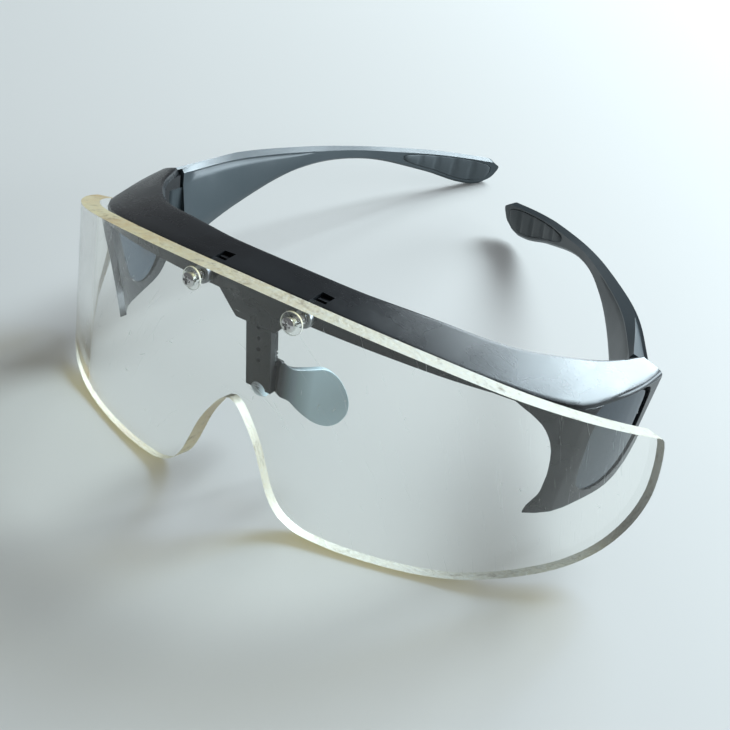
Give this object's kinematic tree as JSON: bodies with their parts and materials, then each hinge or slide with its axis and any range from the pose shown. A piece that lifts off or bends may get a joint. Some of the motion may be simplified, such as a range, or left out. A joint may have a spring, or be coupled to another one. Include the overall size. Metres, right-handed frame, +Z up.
{
  "type": "x-ray protective glasses",
  "caption": "Black wraparound spectacle frame with side guards, folding arms and sliding nose piece, carrying a thick clear curved front shield held by screws.",
  "frame": {"origin": "middle of the bounding box at the level of the surface that the glasses rest on", "axes": "+X towards the wearer's left, +Y towards the wearer's ears, +Z up"},
  "size_m": [0.157, 0.1802, 0.0514],
  "materials": {
    "frame_plastic": "satin black moulded plastic",
    "clear_sheet": "polished clear sheet, faintly yellow-green through its edges",
    "clear_washer": "clear plastic",
    "screw_steel": "bright plated",
    "grey_steel": "plain turned metal",
    "window_plastic": "dark blue-grey semi-gloss",
    "grip_rubber": "matt black"
  },
  "bodies": {
    "front": {"frame_front": "frame_plastic", "front_shield": "clear_sheet", "shield_screw_left": "screw_steel", "shield_screw_right": "screw_steel", "shield_washer_left": "clear_washer", "shield_washer_right": "clear_washer", "shield_spacer_left": "grey_steel", "shield_spacer_right": "grey_steel", "shield_nut_left": "grey_steel", "shield_nut_right": "grey_steel", "side_window_left": "window_plastic", "side_window_right": "window_plastic", "hinge_pin_left": "grey_steel", "hinge_pin_right": "grey_steel"},
    "left_arm": {"temple_left": "frame_plastic", "grip_pad_left": "grip_rubber"},
    "right_arm": {"temple_right": "frame_plastic", "grip_pad_right": "grip_rubber"},
    "nose": {"nose_piece": "frame_plastic"}
  },
  "joints": [
    {"name": "left_arm_fold", "type": "hinge", "parent": "front", "child": "left_arm", "pos_m": [0.0656, -0.03611, 0.032], "axis": [0, 0.1079, 0.9942], "range_deg": [-31.5, 40.5]},
    {"name": "right_arm_fold", "type": "hinge", "parent": "front", "child": "right_arm", "pos_m": [-0.0656, -0.03611, 0.032], "axis": [0, -0.1079, -0.9942], "range_deg": [-2.4, 12.6]},
    {"name": "nose_slide", "type": "slide", "parent": "front", "child": "nose", "axis": [0, -0.0088, 1], "range_m": [-0.0027, 0.0054]}
  ]
}
